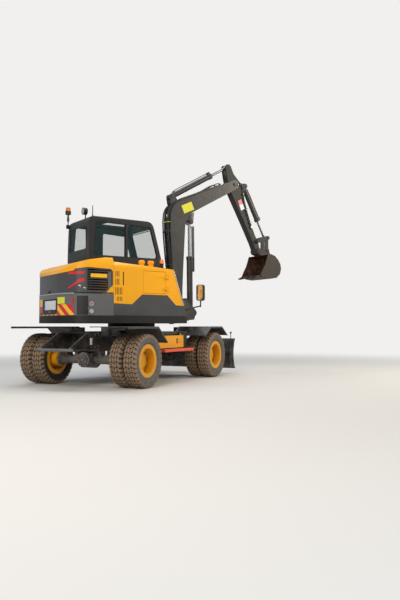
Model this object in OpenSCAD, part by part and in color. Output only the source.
// Wheeled excavator of the six-tonne class: twin tyres, offset-swing boom, front dozer blade.
// +X is the way the upper body faces, +Y its left, +Z up, and the floor is z = 0.
// Places on the upper body are measured from the slewing axis, those on the chassis from the same
// axis along the chassis, which stands turned under the upper body.

/* [Stance] */
// Turn of the chassis under the upper body, counter-clockwise from above
chassis_turn = 30; // [0:5:60]

/* [Wheels] */
// Outside diameter of a tyre over its lugs
tyre_od = 860; // [840:5:880]
// Width of one tyre
tyre_w = 235; // [200:5:255]
// Distance between the middles of twin tyres
twin_pitch = 265; // [258:1:290]
// Width of the machine over its outer tyres
track_over = 2310; // [2290:10:2500]
// Distance between the axles
wheelbase = 2500; // [2450:10:2700]
// Radius of a rim over its flange
rim_r = 266; // [255:1:290]
// Width of a rim over its flanges
rim_w = 180; // [160:2:190]
// Thickness of the rim's metal
rim_t = 12; // [8:1:14]
// Radius of the spindle that a hub turns on
spindle_r = 50; // [40:1:60]

/* [Chassis] */
// Height of the frame's top
frame_top = 860; // [840:5:880]
// Height of the frame's main box
frame_h = 290; // [240:10:300]
// Width of the frame's main box
frame_w = 600; // [560:10:640]
// Height of the mudguards' top
guard_top = 975; // [960:5:990]
// Thickness of a mudguard's sheet
guard_t = 14; // [8:1:20]
// Radius of the slewing ring
ring_r = 430; // [400:10:460]

/* [Blade] */
// Height of the dozer blade
blade_h = 600; // [450:10:620]
// Height of the blade's edge above the floor as parked
blade_low = 120; // [100:5:160]
// Thickness of the blade's plate
blade_t = 16; // [10:1:24]

/* [Upper body] */
// Underside of the deck
deck_z = 1030; // [1010:5:1040]
// Height of the deck with its dark skirt
deck_h = 125; // [110:5:140]
// Half width of the upper body
upper_half = 925; // [900:5:950]
// Tail swing radius
tail_r = 1650; // [1600:10:1700]
// Front end of the deck
deck_front = 660; // [640:5:690]
// Top of the counterweight
weight_top = 1520; // [1500:10:1600]
// Top of the engine hood where it meets the cab
hood_top = 2120; // [2080:10:2140]
// Thickness of the body panels
panel_t = 30; // [20:1:40]

/* [Cab] */
// Width of the cab
cab_w = 975; // [940:5:980]
// Height of the cab roof's top
roof_z = 2960; // [2900:10:3000]
// Thickness of the cab's walls and doors
wall_t = 45; // [30:1:60]
// Thickness of the glass
glass_t = 6; // [5:1:10]

/* [Boom and arm] */
// Width of the boom's box
boom_w = 220; // [200:5:230]
// Width of the arm
arm_w = 160; // [140:5:164]
// Width of the bucket
bucket_w = 660; // [500:10:800]
// Radius of the boom's main pins
pin_r = 34; // [28:1:38]
// Radius of the boom cylinder's barrel
ram_r = 58; // [48:1:62]
// Radius of the cylinders' rods
rod_r = 30; // [22:1:34]

/* [Fits] */
// Radial clearance of pins, hubs and rods
pin_gap = 0.5; // [0.2:0.1:0.8]
// Side clearance of eyes between their plates
side_gap = 5; // [3:0.5:8]

/* [Hidden] */
$fn = 64;

yellow = [0.97, 0.69, 0.07];
charcoal = [0.27, 0.27, 0.28];
black = [0.12, 0.12, 0.12];
steel = [0.62, 0.62, 0.62];

// The part's origin, under the middle of its outline, seen from the slewing axis
origin_x = 573;
origin_y = 68;

wheel_y = (track_over - tyre_w - twin_pitch) / 2;
axle_z = tyre_od / 2;
tread_in = wheel_y - (twin_pitch + tyre_w) / 2;
// A hub starts this far inboard of the tyres
hub_start = tread_in - 49;
king_y = hub_start - 76;
frame_low = frame_top - frame_h;

// Arc of points [x, z] round a centre from angle a to angle b
function arc(cx, cz, r, a, b, n = 12) =
    [for (i = [0 : n]) [cx + r * cos(a + (b - a) * i / n), cz + r * sin(a + (b - a) * i / n)]];
function angle_of(a, b) = atan2(b[1] - a[1], b[0] - a[0]);
function reach(a, b) = norm(b - a);
// The place at distance u along and n across the line that starts at p with angle t
function along(p, t, u, n) = [p[0] + u * cos(t) - n * sin(t), p[1] + u * sin(t) + n * cos(t)];

module at_origin() translate([-origin_x, -origin_y, 0]) children();
module on_chassis() at_origin() rotate([0, 0, chassis_turn]) children();
// A flat shape drawn in X and Z, as thick as from y0 to y1
module plate_xz(y0, y1) translate([0, y1, 0]) rotate([90, 0, 0]) linear_extrude(y1 - y0) children();
module pin_xz(p, y0, y1, r) translate([p[0], y1, p[1]]) rotate([90, 0, 0]) cylinder(h = y1 - y0, r = r);
module block(x0, x1, y0, y1, z0, z1) translate([x0, y0, z0]) cube([x1 - x0, y1 - y0, z1 - z0]);
// Children drawn along +X from place p, turned up by t in the XZ plane
module turned(p, t) translate([p[0], 0, p[1]]) rotate([0, -t, 0]) children();
module both_sides() { children(); mirror([0, 1, 0]) children(); }

function unit(v) = v / norm(v);
// Inward normal of the edge from a to b in a counter-clockwise outline
function inward(a, b) = unit([a[1] - b[1], b[0] - a[0]]);
// Counter-clockwise outline moved inwards by d
function inset(p, d) = let (n = len(p))
    [for (i = [0 : n - 1]) let (u = inward(p[(i + n - 1) % n], p[i]), v = inward(p[i], p[(i + 1) % n]))
        p[i] + d * (u + v) / (1 + u * v)];
// Outline with its corners rounded to radius r
function soft(p, r, k = 4) = let (n = len(p)) [for (i = [0 : n - 1]) let (
        a = unit(p[(i + n - 1) % n] - p[i]), b = unit(p[(i + 1) % n] - p[i]), h = acos(a * b) / 2,
        c = p[i] + unit(a + b) * r / sin(h), s = atan2(-(a + b)[1], -(a + b)[0]), w = 90 - h,
        t = (a[0] * b[1] - a[1] * b[0]) < 0 ? 1 : -1)
    for (j = [0 : k]) [c[0] + r * cos(s + t * w * (2 * j / k - 1)), c[1] + r * sin(s + t * w * (2 * j / k - 1))]];

// Wheels

bead_r = rim_r - 51;
flange_t = rim_t;
// Stations across a twin rim, outwards from the middle of the pair
disc_at = twin_pitch / 2 - 70;
cap_at = 110;
hub_r = 125;

// Lugs round one tyre, each with a groove behind it, in a V over the tread
lug_count = 24;
lug_pitch = 360 / lug_count;
lug_turn = lug_pitch * 2 / 3;
groove_depth = 22;
// A tyre's rings from bead to bead: [place across, radius, radius in a groove, turn in pitches],
// the groove's radius being 0 on a plain ring
tyre_rings = let (w = rim_w / 2 - flange_t - 0.3, t = tyre_od / 2 / cos(lug_turn / 2),
        m = tyre_od / 2 / cos((lug_pitch - lug_turn) / 2), c = cos(lug_pitch / 2)) [
    [w, (bead_r + 0.3) / c, 0, 0], [w, (rim_r + 1) / c, 0, 0], [tyre_w / 2, rim_r + 84, 0, 0],
    [tyre_w / 2 - 26, t, t - groove_depth, 0], [0, m, m - groove_depth, 0.5],
    [26 - tyre_w / 2, t, t - groove_depth, 0], [-tyre_w / 2, rim_r + 84, 0, 0],
    [-w, (rim_r + 1) / c, 0, 0], [-w, (bead_r + 0.3) / c, 0, 0]];
// Every ring has three places for each lug: its two edges and the groove
function ring_point(g, r, turn) = [r * cos(turn + g[3] * lug_pitch), r * sin(turn + g[3] * lug_pitch), g[0]];
module tyre() rotate([90, 0, 0]) polyhedron(
    points = [for (g = tyre_rings) for (i = [0 : lug_count - 1]) each g[2] == 0 ?
        [ring_point(g, g[1], i * lug_pitch)] :
        [ring_point(g, g[1], i * lug_pitch - lug_turn / 2), ring_point(g, g[1], i * lug_pitch + lug_turn / 2),
            ring_point(g, g[2], (i + 0.5) * lug_pitch)]],
    faces = [for (k = [0 : len(tyre_rings) - 1]) let (m = (k + 1) % len(tyre_rings), a = ring_start(k),
        b = ring_start(m), p = ring_size(k), q = ring_size(m)) for (i = [0 : lug_count - 1])
        each strip([for (j = [0 : p]) a + (i * p + j) % (p * lug_count)],
            [for (j = [0 : q]) b + (i * q + j) % (q * lug_count)])]);
function ring_size(k) = tyre_rings[k][2] == 0 ? 1 : 3;
function ring_start(k) = k == 0 ? 0 : ring_start(k - 1) + ring_size(k - 1) * lug_count;
// Triangles between one lug's stretch of two neighbouring rings
function strip(a, b) = len(a) == len(b) ?
    [for (j = [0 : len(a) - 2]) each [[a[j], a[j + 1], b[j + 1]], [a[j], b[j + 1], b[j]]]] :
    len(a) < len(b) ? [[a[0], b[1], b[0]], [a[0], b[2], b[1]], [a[0], a[1], b[2]], [a[1], b[3], b[2]]] :
    [[b[0], a[0], a[1]], [b[0], a[1], a[2]], [b[0], a[2], b[1]], [b[1], a[2], a[3]]];

module tyre_pair() for (s = [-1, 1]) translate([0, s * twin_pitch / 2, 0]) tyre();

// Both rims of a pair with their hub, outwards along +Y
module rim_pair() rotate([-90, 0, 0]) rotate_extrude($fn = 96) polygon(let (
        in = -(wheel_y - hub_start), c = twin_pitch / 2, f = rim_w / 2, b = bead_r, i = bead_r - rim_t,
        d = disc_at, t = 14) [
    [spindle_r + pin_gap, in], [hub_r, in], [hub_r, -d - t], [i, -d - t], [i, -c - f], [rim_r, -c - f],
    [rim_r, -c - f + rim_t], [b, -c - f + rim_t], [b, -c + f - rim_t], [rim_r, -c + f - rim_t],
    [rim_r, -c + f], [i, -c + f], [i, -d], [150, -d], [150, d], [i, d], [i, c - f], [rim_r, c - f],
    [rim_r, c - f + rim_t], [b, c - f + rim_t], [b, c + f - rim_t], [rim_r, c + f - rim_t],
    [rim_r, c + f], [i, c + f], [i, d + t], [hub_r, d + t], [hub_r, cap_at], [0, cap_at],
    [0, cap_at - 50], [spindle_r + pin_gap, cap_at - 50]]);

// Children set at a wheel: along is 1 for the front axle, side is 1 for the left
module at_wheel(along, side) on_chassis() translate([along * wheelbase / 2, side * wheel_y, axle_z])
    mirror([0, side < 0 ? 1 : 0, 0]) children();

module tyres_front_left() color(black) at_wheel(1, 1) tyre_pair();
module tyres_front_right() color(black) at_wheel(1, -1) tyre_pair();
module tyres_rear_left() color(black) at_wheel(-1, 1) tyre_pair();
module tyres_rear_right() color(black) at_wheel(-1, -1) tyre_pair();
module rims_front_left() color(yellow) at_wheel(1, 1) rim_pair();
module rims_front_right() color(yellow) at_wheel(1, -1) rim_pair();
module rims_rear_left() color(yellow) at_wheel(-1, 1) rim_pair();
module rims_rear_right() color(yellow) at_wheel(-1, -1) rim_pair();

// Axles, along Y with their middle at the origin

spindle_end = cap_at - 55;
king_r = 25;
king_boss_r = 55;
king_boss_h = 120;
beam_h = 100;
tie_back = 165;
tie_drop = 115;
tie_r = 16;

module spindle(from) translate([0, from, 0]) rotate([-90, 0, 0])
    cylinder(h = wheel_y + spindle_end - from, r = spindle_r);

module rear_axle() color(steel) on_chassis() translate([-wheelbase / 2, 0, axle_z]) {
    flange = hub_start - 6;
    both_sides() {
        rotate([-90, 0, 0]) cylinder(h = flange, r = 75);
        translate([0, flange - 40, 0]) rotate([-90, 0, 0]) cylinder(h = 40, r = 110);
        spindle(flange - 5);
        block(-60, 60, 200, 270, 0, frame_low - axle_z);
    }
    rotate([90, 0, 0]) cylinder(h = 260, r = 138, center = true);
    translate([-180, 0, 0]) rotate([0, 90, 0]) cylinder(h = 360, r = 125);
    translate([100, 0, 0]) rotate([0, 90, 0]) cylinder(h = 700, r = 32);
}

module front_axle() color(steel) on_chassis() translate([wheelbase / 2, 0, axle_z]) difference() {
    union() {
        block(-60, 60, -(king_y - 50), king_y - 50, -beam_h / 2, beam_h / 2);
        both_sides() {
            block(-45, 45, king_y - 55, king_y, -beam_h / 2, beam_h / 2);
            translate([0, king_y, -king_boss_h / 2]) cylinder(h = king_boss_h, r = king_boss_r);
            block(-60, 60, 170, 240, 0, frame_low - axle_z);
            block(-tie_back - 20, -50, 120, 160, -tie_drop - 20, -20);
        }
        rotate([90, 0, 0]) cylinder(h = 240, r = 130, center = true);
        translate([-120, 0, 0]) rotate([0, 90, 0]) cylinder(h = 260, r = 110);
        translate([-800, 0, 0]) rotate([0, 90, 0]) cylinder(h = 700, r = 32);
        translate([-tie_back, 0, -tie_drop]) rotate([90, 0, 0]) cylinder(h = 360, r = 38, center = true);
    }
    both_sides() translate([0, king_y, -king_boss_h]) cylinder(h = 2 * king_boss_h, r = king_r + pin_gap);
    translate([-tie_back, 0, -tie_drop]) rotate([90, 0, 0])
        cylinder(h = 400, r = tie_r + pin_gap, center = true);
}

// Steering knuckle on the left: a fork round the end of the axle, with its spindle and steering arm
module knuckle() translate([wheelbase / 2, 0, axle_z]) {
    plate_in = hub_start - 16;
    half = king_boss_h / 2 + 5;
    translate([0, king_y, -half - 30]) cylinder(h = 2 * half + 60, r = king_r);
    for (s = [0, 1]) mirror([0, 0, s]) {
        translate([0, king_y, half]) cylinder(h = 30, r = king_boss_r);
        block(-king_boss_r, king_boss_r, king_y, plate_in, half, half + 30);
    }
    block(-king_boss_r, king_boss_r, plate_in, plate_in + 10, -half - 30, half + 30);
    spindle(plate_in + 5);
    block(-tie_back - 30, 0, king_y - 28, king_y + 28, -half - 30, -half);
}
module knuckle_left() color(steel) on_chassis() knuckle();
module knuckle_right() color(steel) on_chassis() mirror([0, 1, 0]) knuckle();

module track_rod() color(steel) on_chassis() translate([wheelbase / 2 - tie_back, 0, axle_z - tie_drop]) {
    rotate([90, 0, 0]) cylinder(h = 2 * king_y, r = tie_r, center = true);
    both_sides() translate([0, king_y, -18]) cylinder(h = tie_drop - king_boss_h / 2 - 35 - 5 + 18, r = 28);
}

// Chassis

ring_bore = ring_r - 90;
ring_top = deck_z - 65;
ring_gap = 4;
frame_back = -1400;
frame_front = 1440;
blade_pin = [1500, 470];
blade_ram_pin = [1480, 790];
lug_in = 227;
lug_out = 257;

module chassis_frame() color(black) on_chassis() {
    difference() {
        union() {
            block(frame_back, frame_front, -frame_w / 2, frame_w / 2, frame_low, frame_top);
            translate([0, 0, frame_top - 10]) cylinder(h = ring_top - frame_top + 10, r = ring_r);
            block(-330, 60, -150, 150, axle_z - 60, frame_low);
            block(60, 420, -110, 110, axle_z - 45, frame_low);
        }
        translate([0, 0, frame_top]) cylinder(h = 300, r = ring_bore);
        translate([-700, 0, axle_z]) rotate([0, 90, 0]) cylinder(h = 390, r = 33);
        translate([400, 0, axle_z]) rotate([0, 90, 0]) cylinder(h = 100, r = 33);
    }
    both_sides() {
        plate_xz(lug_in, lug_out) polygon([[frame_front, 700], [frame_front, 400], [1490, 410],
            each arc(blade_pin[0], blade_pin[1], 50, -90, 50, 8), [1460, 700]]);
        pin_xz(blade_pin, lug_in, lug_out + 38, 25);
        plate_xz(40, 60) polygon([[frame_front, 850], [frame_front, 740],
            each arc(blade_ram_pin[0], blade_ram_pin[1], 36, -90, 90, 8)]);
    }
    pin_xz(blade_ram_pin, -60, 60, 20);
}

guard_in = 450;
// Stations and heights along the rear and the front mudguards
rear_guard = [[-1870, 0], [-960, 0], [-670, -245]];
front_guard = [[740, -165], [1000, 0], [1500, 0], [1760, -165]];

module guard(line, brackets) translate([0, 0, guard_top]) {
    n = len(line);
    half = track_over / 2;
    under = [for (i = [n - 1 : -1 : 0]) line[i] - [0, guard_t]];
    lip = [for (i = [n - 1 : -1 : 0]) line[i] - [0, 34]];
    plate_xz(guard_in, half) polygon(concat(line, under));
    plate_xz(half - 6, half) polygon(concat(line, lip));
    for (x = brackets) {
        block(x - 35, x + 35, frame_w / 2, 430, -160, -guard_t);
        block(x - 35, x + 35, 400, 760, -62, -guard_t);
    }
}
module mudguards() color(black) on_chassis() both_sides() {
    guard(rear_guard, [-1330, -1030]);
    guard(front_guard, [1090, 1400]);
}

box_back = -580;
box_front = 585;
box_out = 850;
box_low = 590;
lid_front = 410;
lid_t = 20;
lid_pin = [box_out + 12, 834];

module side_box() difference() {
    union() {
        block(box_back, box_front, -box_out, -frame_w / 2, box_low, frame_top);
        block(box_back, box_front, -box_out - 14, -frame_w / 2, frame_top, frame_top + 24);
    }
    translate([0, 0, frame_top - 11]) cylinder(h = 60, r = ring_r + 1);
}
module tool_box() color(black) on_chassis() {
    difference() {
        side_box();
        block(box_back + 20, lid_front - 20, -box_out - 1, -frame_w / 2 - 20, box_low + 20, frame_top - 30);
    }
    for (x = [box_back + 60, 0, 440]) block(x, x + 40, -step_in, -600, box_low - 24, box_low);
    for (x = lid_hinges) {
        for (s = [-1, 1]) block(x + s * 33 - 10, x + s * 33 + 10, -lid_pin[0] - 12, -box_out, lid_pin[1] - 10,
            frame_top);
        translate([x - 43, -lid_pin[0], lid_pin[1]]) rotate([0, 90, 0]) cylinder(h = 86, r = 6);
    }
}
lid_hinges = [box_back + 120, lid_front - 120];
module tool_box_lid() color(yellow) on_chassis() difference() {
    union() {
        block(box_back + 3, lid_front, -box_out - lid_t - 1, -box_out - 1, box_low + 4, lid_pin[1] - 20);
        for (x = lid_hinges) {
            block(x - 20, x + 20, -box_out - lid_t - 1, -box_out - 2, lid_pin[1] - 24, lid_pin[1]);
            translate([x - 20, -lid_pin[0], lid_pin[1]]) rotate([0, 90, 0]) cylinder(h = 40, r = 10);
        }
        block(lid_front - 150, lid_front - 110, -box_out - lid_t - 16, -box_out - 20, 690, 760);
    }
    for (x = lid_hinges) translate([x - 30, -lid_pin[0], lid_pin[1]]) rotate([0, 90, 0])
        cylinder(h = 60, r = 6 + pin_gap);
}
module step_box() color(black) on_chassis() mirror([0, 1, 0]) {
    side_box();
    for (x = [box_back + 60, 0, 440]) block(x, x + 40, -step_in, -600, box_low - 24, box_low);
}
step_in = 950;
step_w = 90;
module step_bars() color([0.94, 0.33, 0.12]) on_chassis() both_sides()
    block(box_back + 30, 500, step_in, step_in + step_w, box_low - 52, box_low - 8);

// Rear bracket: two cheeks, a top plate and a sloped plate between them
cheek_out = frame_w / 2;
cheek_t = 30;
bracket_back = -2130;
bracket_z = 600;
eye_at = [bracket_back + 240, bracket_z + 90];
eye_r = 28;
module rear_bracket() color(black) on_chassis() difference() {
    union() {
        both_sides() plate_xz(cheek_out - cheek_t, cheek_out) polygon([[frame_back, 895], [-1710, 880],
            [bracket_back, 650], [bracket_back, 620], [bracket_back + 50, bracket_z], [-1600, bracket_z],
            [frame_back, bracket_z + 40]]);
        plate_xz(-cheek_out, cheek_out) polygon([[frame_back, 895], [frame_back, 881], [-1705, 866],
            [-1710, 880]]);
        plate_xz(-cheek_out - 50, cheek_out + 50) polygon([[-1760, bracket_z + 20], [-1760, bracket_z],
            [bracket_back + 50, bracket_z - 14], [bracket_back - 15, bracket_z + 6],
            [bracket_back - 15, bracket_z + 36], [bracket_back + 50, bracket_z + 12]]);
    }
    pin_xz(eye_at, -400, 400, eye_r);
}

// Dozer blade

blade_at = 2060;
blade_curve = 600;
blade_ram_eye = [1985, 440];
module dozer_blade() color(black) on_chassis() {
    half = track_over / 2;
    mid = blade_low + blade_h / 2;
    a = asin(blade_h / 2 / blade_curve);
    plate_xz(-half, half) polygon(concat(arc(blade_at + blade_curve, mid, blade_curve, 180 - a, 180 + a),
        arc(blade_at + blade_curve, mid, blade_curve + blade_t, 180 + a, 180 - a)));
    both_sides() {
        plate_xz(half - 16, half) polygon(concat(arc(blade_at + blade_curve, mid, blade_curve - 1, 180 - a,
            180 + a), [[blade_at - 30, blade_low + 40], [blade_at - 45, mid], [blade_at - 30,
            blade_low + blade_h - 20]]));
        difference() {
            plate_xz(lug_out + 5, lug_out + 35) polygon([each arc(blade_pin[0], blade_pin[1], 50, 80, 280, 10),
                [blade_at - 10, mid - 150], [blade_at - 10, mid + 60]]);
            pin_xz(blade_pin, lug_out, lug_out + 50, 25 + pin_gap);
        }
        plate_xz(45, 65) polygon([each arc(blade_ram_eye[0], blade_ram_eye[1], 40, 90, 270, 8),
            [blade_at - 10, blade_ram_eye[1] - 70], [blade_at - 10, blade_ram_eye[1] + 70]]);
        pin_xz(blade_ram_eye, 60, 80, 22);
        translate([blade_at - 30, half - 50, blade_low + 20]) cylinder(h = blade_h - 60, r = 30);
        translate([blade_at - 30, half - 50, blade_low + blade_h - 50]) cylinder(h = 170, r = 8);
        translate([blade_at - 30, half - 50, blade_low + blade_h + 125]) sphere(r = 22);
    }
}

// Hydraulic cylinders lie along +X from their base pin, in the XZ plane

// Barrel with an eye at its base: length to the gland, barrel radius, eye radius, half width, pin radius
module barrel(length, r, eye, half, pin, bore) difference() {
    union() {
        rotate([90, 0, 0]) cylinder(h = 2 * half, r = eye, center = true);
        translate([eye - 10, 0, 0]) rotate([0, 90, 0]) cylinder(h = length - eye + 10, r = r);
        translate([length - 60, 0, 0]) rotate([0, 90, 0]) cylinder(h = 60, r = r + 8);
    }
    rotate([90, 0, 0]) cylinder(h = 4 * half, r = pin + pin_gap, center = true);
    translate([eye + 20, 0, 0]) rotate([0, 90, 0]) cylinder(h = length, r = bore + pin_gap);
}
// Rod from its inner end to its eye, both measured from the base pin
module rod(inner, length, r, eye, half) {
    translate([inner, 0, 0]) rotate([0, 90, 0]) cylinder(h = length - inner, r = r);
    translate([length, 0, 0]) rotate([90, 0, 0]) cylinder(h = 2 * half, r = eye, center = true);
}

blade_ram_len = reach(blade_ram_pin, blade_ram_eye);
blade_ram_turn = angle_of(blade_ram_pin, blade_ram_eye);
module blade_barrel() color(black) on_chassis() turned(blade_ram_pin, blade_ram_turn)
    barrel(400, 36, 34, 35, 20, 20);
module blade_rod() color(steel) on_chassis() turned(blade_ram_pin, blade_ram_turn)
    rod(200, blade_ram_len, 20, 34, 40);

// Upper body

deck_top = deck_z + deck_h;
tail_back = -1600;
corner_r = 450;
nose_r = 60;
cab_y0 = upper_half - cab_w;
cab_back = -900;
cab_front = 650;
house_back = -795;
hood_front = -935;
hood_low = weight_top + 15;
swing_x = 860;
bracket_low = [deck_z, deck_z + 50];
bracket_high = [deck_z + 210, deck_z + 270];
post_pin_r = 45;

// Plan of the upper body, less a margin
module plan(m = 0) {
    x0 = tail_back + m; x1 = deck_front - m; y = upper_half - m; c = corner_r - m; f = nose_r;
    intersection() {
        circle(r = tail_r - m, $fn = 180);
        union() {
            translate([x0 + c, -y]) square([x1 - f - x0 - c, 2 * y]);
            translate([x0, -y + c]) square([c + 1, 2 * (y - c)]);
            translate([x1 - f - 1, -y + f]) square([f + 1, 2 * (y - f)]);
            for (s = [-1, 1]) {
                translate([x0 + c, s * (y - c)]) circle(r = c, $fn = 96);
                translate([x1 - f, s * (y - f)]) circle(r = f);
            }
        }
    }
}
module band(x0, x1, z0, z1, m = 0, y0 = -1000, y1 = 1000) translate([0, 0, z0]) linear_extrude(z1 - z0)
    intersection() { plan(m); translate([x0, y0]) square([x1 - x0, y1 - y0]); }

module deck() color(charcoal) at_origin() {
    translate([0, 0, deck_z]) linear_extrude(deck_h) plan();
    translate([0, 0, ring_top + ring_gap]) cylinder(h = deck_z - ring_top, r = ring_r);
    translate([0, 0, frame_top + 12]) cylinder(h = deck_z - frame_top, r = ring_bore - pin_gap);
    block(deck_front - 20, deck_front + 100, -200, 200, deck_z, deck_top);
    block(deck_front, deck_front + 100, -200, 200, deck_z, bracket_high[1]);
    for (b = [bracket_low, bracket_high]) translate([0, 0, b[0]]) linear_extrude(b[1] - b[0]) {
        translate([swing_x, 0]) circle(r = 90);
        polygon([[deck_front + 80, -190], [swing_x + 35, -83], [swing_x + 35, 83], [deck_front + 80, 190]]);
    }
    translate([swing_x, 0, deck_z - 12]) cylinder(h = bracket_high[1] - deck_z + 24, r = post_pin_r);
}

module counterweight() color(charcoal) at_origin() difference() {
    union() {
        band(-1700, cab_back - 5, deck_top, weight_top);
        band(-1700, house_back - 1, deck_top, weight_top, 0, -1000, cab_y0 - 10);
    }
    for (z = lamp_zs) translate([lamp_at[0], lamp_at[1], z]) rotate([90, 0, 0]) cylinder(h = 60, r = 52,
        center = true);
}
lamp_at = [-1190, -upper_half];
lamp_zs = [1225, 1345];

// The engine lies across the tail: its length, half width and height
engine_size = [420, 520, 400];
module engine_block() color(steel) at_origin() block(-1010 - engine_size[0], -1010, -engine_size[1],
    engine_size[1], weight_top, weight_top + engine_size[2]);

// Hood over the engine: a shell that wraps round the tail, hinged along its front edge
hood_line = [[-700, hood_top], [hood_front, hood_top - 4], [-1250, hood_top - 60], [-1430, hood_top - 120],
    [-1560, hood_top - 210], [-1625, hood_top - 320], [-1700, hood_top - 420]];
module hood_form(m) intersection() {
    union() {
        band(-1700, hood_front, hood_low - m, hood_top, m);
        band(-1700, house_back - 5, hood_low - m, hood_top, m, -1000, cab_y0 - 5);
    }
    plate_xz(-1000, 1000) polygon(concat([for (p = hood_line) p - [0, m]], [[-1700, 1400], [-700, 1400]]));
    // Rounded edges along both sides
    rotate([90, 0, 90]) translate([0, 0, -1800]) linear_extrude(1200) polygon(
        soft([[-upper_half + m, 1400], [upper_half - m, 1400], [upper_half - m, hood_top + 40 - m],
            [-upper_half + m, hood_top + 40 - m]], 170, 8));
}
hood_pin = [-918, hood_top - 16];
hood_hinges = [120, 720];
// Side view of the dark rear panel that the yellow hood frames
grille_zone = [[-1700, 1400], [-1020, 1400], [-960, 1500], [-812, 1660], [-812, 1885], [-850, 1925],
    [-1250, 1940], [-1430, 1912], [-1450, 1882], [-1700, 1820]];
grille_ends = [-1260, -835];
module rear_grille() color(charcoal) at_origin() {
    difference() {
        intersection() {
            hood_form(6);
            plate_xz(-1000, 1000) polygon(grille_zone);
        }
        hood_form(panel_t);
        // Openings between the bars, on both sides
        intersection() {
            plate_xz(-1000, 1000) polygon(inset(grille_zone, 26));
            for (z = grille_zs) band(grille_ends[0], grille_ends[1], z, z + grille_pitch - grille_bar, 0);
        }
    }
}
grille_pitch = 40;
grille_bar = 14;
grille_zs = [for (i = [0 : 8]) 1565 + i * grille_pitch];
module engine_hood() color(yellow) at_origin() difference() {
    union() {
        difference() {
            hood_form(0);
            hood_form(panel_t);
            plate_xz(-1000, 1000) polygon(grille_zone);
        }
        for (y = hood_hinges) {
            block(hood_front - 20, hood_pin[0], y - 20, y + 20, hood_pin[1] - 9, hood_pin[1] + 9);
            pin_xz(hood_pin, y - 20, y + 20, 14);
        }
    }
    for (y = hood_hinges) pin_xz(hood_pin, y - 40, y + 40, 8 + pin_gap);
}

// Right-hand housing beside the cab
house_top_back = 2060;
house_top_front = 1970;
house_line = [[house_back, deck_top], [640, deck_top], [565, 1340], [355, house_top_front],
    [house_back, house_top_back]];
door_back = -250;
door_front = 200;
door_low = 1540;
door_high = 1925;
// Dark panel along the foot of the housing, with its raised middle
side_low = [[house_back, deck_top], [640, deck_top], [565, 1340], [400, 1348], [230, 1518], [-270, 1518],
    [-460, 1348], [house_back, 1360]];
side_t = 14;
// Rows of louvres behind the door: height from and to, first and last place of the slots along X
louvre_rows = [[1805, 1895, -762, -706], [1665, 1770, -762, -706], [1505, 1625, -762, -650],
    [1400, 1470, -734, -650]];
louvre_pitch = 28;
louvre_w = 13;
door_pin = [door_front + 12, -upper_half - 14];
module house_form(m) intersection() {
    plate_xz(-upper_half + m, cab_y0 - 10 - m) polygon(inset(house_line, m));
    rotate([90, 0, 90]) translate([0, 0, -900]) linear_extrude(1600) polygon(
        soft([[-upper_half + m, 1000], [cab_y0 - m, 1000], [cab_y0 - m, 2300], [-upper_half + m + 140, 2110 - m],
            [-upper_half + m, 1990 - m]], 60, 6));
}
module side_housing() color(yellow) at_origin() {
    difference() {
        house_form(0);
        house_form(panel_t);
        block(door_back, door_front, -upper_half - 1, -upper_half + panel_t + 1, door_low, door_high);
        plate_xz(-upper_half - 1, -upper_half + side_t) polygon(side_low);
        for (r = louvre_rows) for (x = [r[2] : louvre_pitch : r[3]])
            block(x - louvre_w / 2, x + louvre_w / 2, -upper_half - 1, -upper_half + side_t, r[0], r[1]);
        block(-632, -612, -upper_half - 1, -upper_half + side_t, 1660, 1890);
    }
    for (z = [door_low + 90, door_high - 90]) {
        for (s = [-1, 1]) block(door_front - 2, door_front + 40, -upper_half - 26, -upper_half, z + s * 30 - 8,
            z + s * 30 + 8);
        translate([door_pin[0], door_pin[1], z - 38]) cylinder(h = 76, r = 6);
    }
}
module side_panel() color(charcoal) at_origin()
    plate_xz(-upper_half, -upper_half + side_t - 0.3) polygon(inset(side_low, 1.5));
module service_door() color(yellow) at_origin() difference() {
    union() {
        block(door_back + 5, door_front - 5, -upper_half, -upper_half + panel_t, door_low + 5, door_high - 5);
        for (z = [door_low + 90, door_high - 90]) {
            block(door_front - 40, door_pin[0], -upper_half - 24, -upper_half - 4, z - 18, z + 18);
            block(door_front - 40, door_front - 12, -upper_half - 6, -upper_half + 2, z - 18, z + 18);
            translate([door_pin[0], door_pin[1], z - 18]) cylinder(h = 36, r = 11);
        }
    }
    for (z = [door_low, door_high]) translate([door_pin[0], door_pin[1], z - 200])
        cylinder(h = 400, r = 6 + pin_gap);
}

// Cab

cab_line = [[cab_back, deck_top], [cab_front, deck_top], [cab_front, 1500], [620, 2180], [445, 2810],
    [422, 2872], [380, 2920], [320, roof_z - 12], [-740, roof_z], [-800, roof_z - 12], [-848, roof_z - 46],
    [-872, roof_z - 100], [cab_back, 2200]];
side_window = [[-790, 2240], [535, 2240], [365, 2840], [-745, 2870]];
left_window = [[-790, 2240], [-345, 2240], [-345, 2850], [-745, 2870]];
door_line = [[-255, 1230], [590, 1230], [592, 1500], [568, 2160], [372, 2850], [-255, 2880]];
door_window = [[-190, 1720], [515, 1720], [520, 1800], [505, 2130], [330, 2780], [-190, 2810]];
rear_window = [[cab_y0 + 90, 2350], [upper_half - 90, 2350], [upper_half - 110, 2790], [cab_y0 + 110, 2790]];
front_window = [[cab_y0 + 60, 1480], [upper_half - 60, 1480], [upper_half - 80, 2820], [cab_y0 + 80, 2820]];
roof_hatch = [-350, 250];
// Upright bar between the two panes of the right side
bar_x = [-150, -114];
door_gap = 6;
hinge_zs = [1450, 2600];
door_axis = [-268, upper_half + 16];

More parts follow.
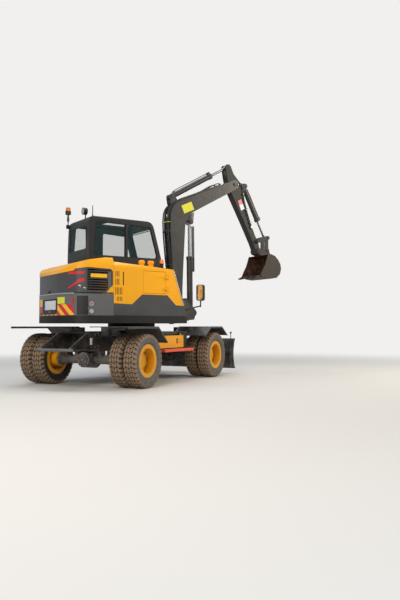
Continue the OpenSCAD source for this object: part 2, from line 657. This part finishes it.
// The cab's outside, with its upright and roof edges rounded
module cab_form() intersection() {
    plate_xz(cab_y0, upper_half) polygon(cab_line);
    plate_yz(cab_back, cab_front) polygon(soft([[cab_y0, deck_top - 200], [upper_half, deck_top - 200],
        [upper_half, roof_z], [cab_y0, roof_z]], 55, 4));
    linear_extrude(roof_z + 10) polygon(soft([[cab_back, cab_y0], [cab_front, cab_y0],
        [cab_front, upper_half], [cab_back, upper_half]], 38, 4));
}

// A flat shape drawn in Y and Z, as thick as from x0 to x1
module plate_yz(x0, x1) translate([x0, 0, 0]) rotate([90, 0, 90]) linear_extrude(x1 - x0) children();

module cab_frame() color(charcoal) at_origin() {
    difference() {
        cab_form();
        plate_xz(cab_y0 + wall_t, upper_half - wall_t) polygon(inset(cab_line, wall_t));
        plate_xz(cab_y0 - 1, cab_y0 + wall_t + 1) polygon(soft(side_window, 60));
        plate_xz(upper_half - wall_t - 1, upper_half + 1) polygon(soft(left_window, 50));
        plate_xz(upper_half - wall_t - 1, upper_half + 1) polygon(inset(door_line, -door_gap));
        plate_yz(cab_back - 50, cab_back + wall_t + 60) polygon(soft(rear_window, 50));
        plate_yz(200, cab_front + 50) polygon(soft(front_window, 60));
        block(roof_hatch[0], roof_hatch[1], cab_y0 + 150, upper_half - 150, roof_z - 100, roof_z + 50);
    }
    plate_xz(cab_y0, cab_y0 + wall_t) polygon([[bar_x[0], 2235], [bar_x[1], 2235], [bar_x[1], 2875],
        [bar_x[0], 2875]]);
    for (y = hood_hinges) for (s = [-1, 1])
        block(hood_pin[0] - 10, cab_back + 5, y + s * 32 - 10, y + s * 32 + 10, hood_pin[1] - 10, hood_pin[1] + 10);
    for (y = hood_hinges) pin_xz(hood_pin, y - 40, y + 40, 8);
    for (z = hinge_zs) {
        for (s = [-1, 1]) block(door_axis[0] - 50, door_axis[0] + 10, upper_half, upper_half + 28,
            z + s * 36 - 10, z + s * 36 + 10);
        translate([door_axis[0], door_axis[1], z - 44]) cylinder(h = 88, r = 8);
    }
}
module cab_door() color(charcoal) at_origin() difference() {
    union() {
        difference() {
            plate_xz(upper_half - wall_t, upper_half) polygon(door_line);
            plate_xz(upper_half - wall_t - 1, upper_half + 1) polygon(soft(door_window, 50));
        }
        for (z = hinge_zs) {
            translate([door_axis[0], door_axis[1], z - 22]) cylinder(h = 44, r = 13);
            block(door_axis[0], door_axis[0] + 60, upper_half + 5, upper_half + 27, z - 22, z + 22);
            block(door_axis[0] + 20, door_axis[0] + 60, upper_half - 5, upper_half + 10, z - 22, z + 22);
        }
        block(480, 530, upper_half - 5, upper_half + 30, 1560, 1580);
    }
    for (z = hinge_zs) translate([door_axis[0], door_axis[1], z - 60]) cylinder(h = 120, r = 8 + pin_gap);
}

glass_gap = 0.3;
glass_in = 18;
module pane(line, r) polygon(inset(soft(line, r), glass_gap));
module cab_glass() color([0.74, 0.82, 0.8]) at_origin() {
    y = cab_y0 + glass_in;
    difference() {
        plate_xz(y, y + glass_t) pane(side_window, 60);
        block(bar_x[0] - glass_gap, bar_x[1] + glass_gap, y - 1, y + glass_t + 1, 2000, 3000);
    }
    plate_xz(upper_half - glass_in - glass_t, upper_half - glass_in) pane(left_window, 50);
    plate_yz(cab_back + glass_in, cab_back + glass_in + glass_t) pane(rear_window, 50);
    intersection() {
        plate_yz(200, cab_front + 50) pane(front_window, 60);
        difference() {
            plate_xz(cab_y0, upper_half) polygon(inset(cab_line, glass_in));
            plate_xz(cab_y0 - 1, upper_half + 1) polygon(inset(cab_line, glass_in + glass_t));
        }
    }
    block(roof_hatch[0] + glass_gap, roof_hatch[1] - glass_gap, cab_y0 + 150 + glass_gap,
        upper_half - 150 - glass_gap, roof_z - 24, roof_z - 18);
}
module door_glass() color([0.74, 0.82, 0.8]) at_origin()
    plate_xz(upper_half - glass_in - glass_t, upper_half - glass_in) pane(door_window, 50);

floor_z = deck_top + wall_t;
seat_y = (cab_y0 + upper_half) / 2;
module seat() color(black) at_origin() {
    block(-480, -120, seat_y - 170, seat_y + 170, floor_z, floor_z + 300);
    plate_xz(seat_y - 240, seat_y + 240) polygon(soft([[-560, floor_z + 300], [-40, floor_z + 300],
        [-40, floor_z + 420], [-560, floor_z + 410]], 40));
    plate_xz(seat_y - 230, seat_y + 230) polygon(soft([[-560, floor_z + 410.3], [-430, floor_z + 410.3],
        [-530, floor_z + 1030], [-640, floor_z + 1030], [-640, floor_z + 700]], 40));
    plate_xz(seat_y - 130, seat_y + 130) polygon(soft([[-630, floor_z + 1030.3], [-540, floor_z + 1030.3],
        [-560, floor_z + 1250], [-640, floor_z + 1250]], 30));
}
module controls() color(black) at_origin() {
    for (s = [-1, 1]) {
        block(-480, 60, seat_y + s * 315 - 55, seat_y + s * 315 + 55, floor_z + 200, floor_z + 520);
        block(-300, -100, seat_y + s * 315 - 40, seat_y + s * 315 + 40, floor_z, floor_z + 200);
        translate([0, seat_y + s * 315, floor_z + 520]) cylinder(h = 170, r = 16);
        translate([0, seat_y + s * 315, floor_z + 690]) sphere(r = 28);
    }
    turned([430, floor_z], 108) {
        translate([13, seat_y, 0]) rotate([0, 90, 0]) cylinder(h = 687, r = 38);
        translate([700, seat_y, 0]) rotate([0, 90, 0]) rotate_extrude() translate([175, 0]) circle(r = 14);
        translate([690, seat_y, 0]) cube([12, 350, 26], center = true);
    }
    block(300, 460, seat_y - 80, seat_y + 80, floor_z, floor_z + 60);
}

beacon_at = [-890, 910];
lamp_x = -740;
module roof_lamps() color(black) at_origin() {
    // Beacon on its post, from a bracket on the cab's side
    block(beacon_at[0] - 30, -780, upper_half, upper_half + 8, roof_z - 130, roof_z - 60);
    block(beacon_at[0] - 30, beacon_at[0] + 12, beacon_at[1] - 20, upper_half + 8, roof_z - 68, roof_z - 60);
    translate([beacon_at[0], beacon_at[1], roof_z]) {
        translate([0, 0, -65]) cylinder(h = 215, r = 10);
        translate([0, 0, 140]) cylinder(h = 30, r = 52);
        translate([0, 0, 165]) cylinder(h = 105, r = 42);
    }
    translate([lamp_x, 430, roof_z]) {
        cylinder(h = 90, r = 12);
        translate([20, 0, 145]) rotate([0, -90, 0]) cylinder(h = 70, r = 65);
    }
    translate([lamp_x, 100, roof_z]) cylinder(h = 200, r = 7);
}
module tail_lamps() color(steel) at_origin() for (z = lamp_zs)
    translate([lamp_at[0], lamp_at[1] + 29.7, z]) rotate([90, 0, 0]) cylinder(h = 30, r = 48);

mirror_at = [865, -1010];
module mirrors() color(black) at_origin() {
    plate_xz(-upper_half + 20, -upper_half + 60) polygon([[602, 1250], [640, 1250], [640, 1290], [586, 1290]]);
    translate([625, -upper_half + 40, 1274]) rotate([0, 76, -27]) cylinder(h = 275, r = 12);
    translate([mirror_at[0], mirror_at[1], 1320]) cylinder(h = 130, r = 12);
    translate([mirror_at[0], mirror_at[1], 1432]) rotate([0, 0, 27]) plate_yz(-25, 30)
        polygon(soft([[-72, 0], [72, 0], [72, 290], [-72, 290]], 38));
    translate([cab_front, upper_half - 20, 2000]) {
        plate_xz(-20, 20) polygon([[-19.2, -60], [20, -60], [20, -20], [-21, -20]]);
        translate([10, 0, -40]) rotate([-70, 0, 0]) cylinder(h = 160, r = 11);
        plate_yz(-10, 40) polygon(soft([[90, -40], [230, -40], [230, 260], [90, 260]], 35));
    }
}
rail_zs = [1600, 2080];
rail_r = 9;
// How far the windscreen's lower part leans back for each unit of height
windscreen_lean = 30 / 680;
module hand_rails() color(steel) at_origin() {
    translate([cab_front, cab_y0 + 20, 0]) {
        for (z = rail_zs) translate([-(z - rail_r - 1500) * windscreen_lean + 0.3, 0, z]) rotate([0, 90, 0])
            cylinder(h = 60, r = rail_r);
        translate([40, 0, rail_zs[0] - rail_r]) cylinder(h = rail_zs[1] - rail_zs[0] + 2 * rail_r, r = rail_r + 2);
    }
}

// Swing post, boom and arm, in the XZ plane

boom_half = boom_w / 2;
fork_in = boom_half + side_gap;
fork_t = 25;
boom_foot = [970, 1450];
ram_base = [1280, 1240];
ram_eye = [1260, 3030];
arm_pin = [2310, 3890];
arm_pin_r = 40;
arm_ram_base = [830, 3480];
arm_turn = -65.1;
// Places on the arm, along and across its line from the boom's pin to the bucket's pin
arm_eye_at = [-380, 10];
arm_len = 1476;
guide_at = [arm_len - 206, 52];
bucket_ram_at = [113, 267];
bucket_eye_at = [arm_len - 175, 335];
// The bucket link's pin on the bucket, from the bucket's own pin
link_at = [230, 30];
eye_half = 50;
lug_half = eye_half + side_gap;
lug_t = 20;
bucket_pin = along(arm_pin, arm_turn, arm_len, 0);
guide_pin = along(arm_pin, arm_turn, guide_at[0], guide_at[1]);
arm_eye = along(arm_pin, arm_turn, arm_eye_at[0], arm_eye_at[1]);
bucket_ram_base = along(arm_pin, arm_turn, bucket_ram_at[0], bucket_ram_at[1]);
bucket_eye = along(arm_pin, arm_turn, bucket_eye_at[0], bucket_eye_at[1]);
link_pin = bucket_pin + link_at;

module swing_post() color(charcoal) at_origin() difference() {
    z0 = bracket_low[1] + 5;
    z1 = bracket_high[0] - 5;
    union() {
        translate([swing_x, 0, z0]) cylinder(h = z1 - z0, r = 80);
        block(swing_x, 1100, -70, 70, z0, z1);
        block(1010, 1170, -fork_in - fork_t, fork_in + fork_t, z0, z1);
        both_sides() {
            plate_xz(fork_in, fork_in + fork_t) polygon([[1010, z0], [1290, z0 + 20],
                each arc(ram_base[0], ram_base[1], 70, -60, 60, 6), [1110, 1520],
                each arc(boom_foot[0], boom_foot[1], 72, 60, 190, 8), [930, bracket_high[1] + 12],
                [1010, bracket_high[1] + 12]]);
            pin_xz(ram_base, lug_half, fork_in + 5, 46);
        }
        pin_xz(ram_base, -fork_in, fork_in, pin_r);
        pin_xz(boom_foot, -fork_in - fork_t - 10, fork_in + fork_t + 10, pin_r);
    }
    translate([swing_x, 0, deck_z - 50]) cylinder(h = 400, r = post_pin_r + pin_gap);
}

elbow = [1130, 3080];
elbow_r = 350;
elbow_end = 115;
crook = [1460, 2900];
crook_r = 360;
boom_slot_r = 330;
boom_line = [[900, 1480], [880, 1690], [830, 2050], [780, 2800],
    each arc(elbow[0], elbow[1], elbow_r, 180, elbow_end, 8), [2010, 3860],
    each arc(arm_pin[0], arm_pin[1], 95, 105, -70, 8), [2150, 3690],
    each arc(crook[0], crook[1], crook_r, 119, 180, 8), [1055, 2060], [1040, 1690], [1040, 1480]];
module lug_pair(inner, t, centre, r, foot) both_sides()
    plate_xz(inner, inner + t) polygon(concat(arc(centre[0], centre[1], r, foot[0], foot[1], 8), foot[2]));
module boom() color(charcoal) at_origin() difference() {
    union() {
        plate_xz(-boom_half, boom_half) polygon(boom_line);
        pin_xz(boom_foot, -boom_half, boom_half, 75);
        // Lugs of the boom cylinder's rod and their pin's caps
        lug_pair(lug_half, lug_t, ram_eye, 55, [-200, 20, [ram_eye + [70, 190], ram_eye + [-110, 110],
            ram_eye + [-150, -30]]]);
        both_sides() pin_xz(ram_eye, lug_half + lug_t, lug_half + lug_t + 12, 38);
        // Lugs of the arm cylinder's base, with its pin
        lug_pair(lug_half, lug_t, arm_ram_base, 52, [35, 200, [arm_ram_base - [30, 150],
            arm_ram_base + [170, -120]]]);
        pin_xz(arm_ram_base, -lug_half - lug_t - 10, lug_half + lug_t + 10, pin_r - 6);
    }
    pin_xz(boom_foot, -boom_half - 1, boom_half + 1, pin_r + pin_gap);
    pin_xz(arm_pin, -arm_w / 2 - side_gap, arm_w / 2 + side_gap, boom_slot_r);
    pin_xz(arm_pin, -boom_half - 1, boom_half + 1, arm_pin_r);
}
pipe_r = 8;
pipe_off = pipe_r + 0.5;
pipe_ys = [-101, -84, 84, 101];
// Where the pipes lie on the boom's back, under and over the elbow
pipe_low = [[870, 1700], [830 - pipe_off, 2050], [780 - pipe_off, 2800]];
pipe_high = [[1900, 3820]];
// A line of points thickened by r to both sides, as a closed outline
function ribbon(p, r) = let (n = len(p), m = [for (i = [0 : n - 1]) let (a = p[max(i - 1, 0)],
        b = p[min(i + 1, n - 1)]) r * inward(a, b)])
    concat([for (i = [0 : n - 1]) p[i] - m[i]], [for (i = [n - 1 : -1 : 0]) p[i] + m[i]]);
module boom_pipes() color(black) at_origin() {
    for (y = pipe_ys) plate_xz(y - pipe_r, y + pipe_r) polygon(ribbon(concat(pipe_low,
        arc(elbow[0], elbow[1], elbow_r + pipe_off, 180, elbow_end, 8), pipe_high), pipe_r));
    pin_xz(arm_pin, -boom_half - 10, boom_half + 10, arm_pin_r - pin_gap);
}

ram_turn = angle_of(ram_base, ram_eye);
ram_len = reach(ram_base, ram_eye);
ram_gland = 1105;
module boom_barrel() color(black) at_origin() turned(ram_base, ram_turn)
    barrel(ram_gland, ram_r, 60, eye_half, pin_r, rod_r);
module boom_rod() color(steel) at_origin() turned(ram_base, ram_turn) {
    guard_n = ram_r + 8 + 12;
    rod(650, ram_len, rod_r, 50, eye_half);
    translate([ram_len - 980, -48, -guard_n - 8]) cube([900, 96, 8]);
    translate([ram_len - 120, -30, -guard_n - 1]) cube([40, 60, guard_n]);
}

arm_ram_turn = angle_of(arm_ram_base, arm_eye);
arm_ram_len = reach(arm_ram_base, arm_eye);
module arm_barrel() color(black) at_origin() turned(arm_ram_base, arm_ram_turn)
    barrel(1080, ram_r - 4, 50, eye_half, pin_r - 6, rod_r - 2);
module arm_rod() color(steel) at_origin() turned(arm_ram_base, arm_ram_turn)
    rod(700, arm_ram_len, rod_r - 2, 50, eye_half);

guide_in = 114;
guide_t = 14;
module arm() color(charcoal) at_origin() turned(arm_pin, arm_turn) difference() {
    half = arm_w / 2;
    union() {
        plate_xz(-half, half) polygon([[-440, -10], [-425, -45], [-380, -60], [-200, -110], [0, -150],
            [130, -145], [800, -85], [guide_at[0], -52], each arc(arm_len, 0, 62, -120, 110, 8), [guide_at[0], 85],
            [arm_len - 326, 62], [720, 66], [300, 130], [180, 190], [80, 200], [0, 160], [-200, 80], [-380, 75],
            [-425, 50]]);
        both_sides() plate_xz(lug_half, half) polygon([[20, 150], each arc(bucket_ram_at[0],
            bucket_ram_at[1], 50, 160, 20, 6), [230, 150]]);
        pin_xz(bucket_ram_at, -half, half, pin_r - 8);
        pin_xz(guide_at, -guide_in - guide_t - 8, guide_in + guide_t + 8, 28);
    }
    block(-500, -150, -lug_half, lug_half, -300, 300);
    pin_xz([0, 0], -half - 1, half + 1, arm_pin_r + pin_gap);
    pin_xz([arm_len, 0], -half - 1, half + 1, pin_r + pin_gap);
}

module guide_links() color(charcoal) at_origin() both_sides() difference() {
    turn = angle_of(guide_pin, bucket_eye);
    union() {
        turned(guide_pin, turn) plate_xz(guide_in, guide_in + guide_t)
            polygon(concat(arc(0, 0, 38, 90, 270, 8), arc(reach(guide_pin, bucket_eye), 0, 42, -90, 90, 8)));
        pin_xz(bucket_eye, lug_half + 1, guide_in + guide_t + 8, 26);
    }
    pin_xz(guide_pin, guide_in - 1, guide_in + guide_t + 1, 28 + pin_gap);
}
module bucket_link() color(charcoal) at_origin() difference() {
    turn = angle_of(bucket_eye, link_pin);
    union() {
        both_sides() {
            turned(bucket_eye, turn) plate_xz(lug_half + 2, arm_w / 2)
                polygon(concat(arc(0, 0, 44, 90, 270, 8), arc(reach(bucket_eye, link_pin), 0, 46, -90, 90, 8)));
            pin_xz(bucket_eye, lug_half + 4, guide_in - 5, 40);
        }
        pin_xz(link_pin, -arm_w / 2 + 1, arm_w / 2 - 1, 42);
    }
    pin_xz(bucket_eye, -guide_in, guide_in, 26 + pin_gap);
}

bucket_ram_turn = angle_of(bucket_ram_base, bucket_eye);
bucket_ram_len = reach(bucket_ram_base, bucket_eye);
module bucket_barrel() color(black) at_origin() turned(bucket_ram_base, bucket_ram_turn)
    barrel(790, ram_r - 8, 46, eye_half, pin_r - 8, rod_r - 4);
module bucket_rod() color(steel) at_origin() turned(bucket_ram_base, bucket_ram_turn)
    rod(480, bucket_ram_len, rod_r - 4, 46, eye_half);

bucket_line = [[-140, -530], [0, -572], [150, -585], [290, -560], [380, -480], [412, -370], [395, -270],
    [330, -175], [250, -105], [150, -70], [60, -80], [28, -180], [-12, -290], [-80, -410]];
shell_t = 14;
module bucket() color(charcoal) at_origin() translate([bucket_pin[0], 0, bucket_pin[1]]) {
    half = bucket_w / 2;
    ear_in = arm_w / 2 + side_gap;
    inner = inset(bucket_line, shell_t);
    plate_xz(-half, half) polygon(concat([for (i = [0 : 10]) bucket_line[i]],
        [for (i = [10 : -1 : 0]) inner[i]]));
    both_sides() {
        plate_xz(half - shell_t, half) polygon(bucket_line);
        plate_xz(ear_in, ear_in + fork_t) polygon([each arc(0, 0, 62, 90, 240, 8), [60, -85], [250, -110],
            [310, -60], each arc(link_at[0], link_at[1], 46, -20, 100, 6)]);
        pin_xz(link_at, ear_in + fork_t, ear_in + fork_t + 12, 36);
    }
    pin_xz([0, 0], -ear_in - fork_t - 12, ear_in + fork_t + 12, pin_r);
    for (i = [0 : 3]) translate([0, -half + 20 + i * (2 * half - 80) / 3, 0])
        plate_xz(0, 40) polygon([[-100, -535], [-100, -560], [-200, -585], [-255, -572], [-150, -520]]);
}

chassis_frame();
rear_axle();
front_axle();
mudguards();
tool_box();
step_box();
step_bars();
rear_bracket();
tool_box_lid();
knuckle_left();
knuckle_right();
track_rod();
tyres_front_left();
rims_front_left();
tyres_front_right();
rims_front_right();
tyres_rear_left();
rims_rear_left();
tyres_rear_right();
rims_rear_right();
dozer_blade();
blade_barrel();
blade_rod();
deck();
counterweight();
side_housing();
side_panel();
engine_block();
cab_frame();
cab_glass();
seat();
controls();
roof_lamps();
tail_lamps();
mirrors();
hand_rails();
service_door();
engine_hood();
rear_grille();
cab_door();
door_glass();
swing_post();
boom();
boom_pipes();
boom_barrel();
boom_rod();
arm();
arm_barrel();
arm_rod();
guide_links();
bucket_link();
bucket_barrel();
bucket_rod();
bucket();
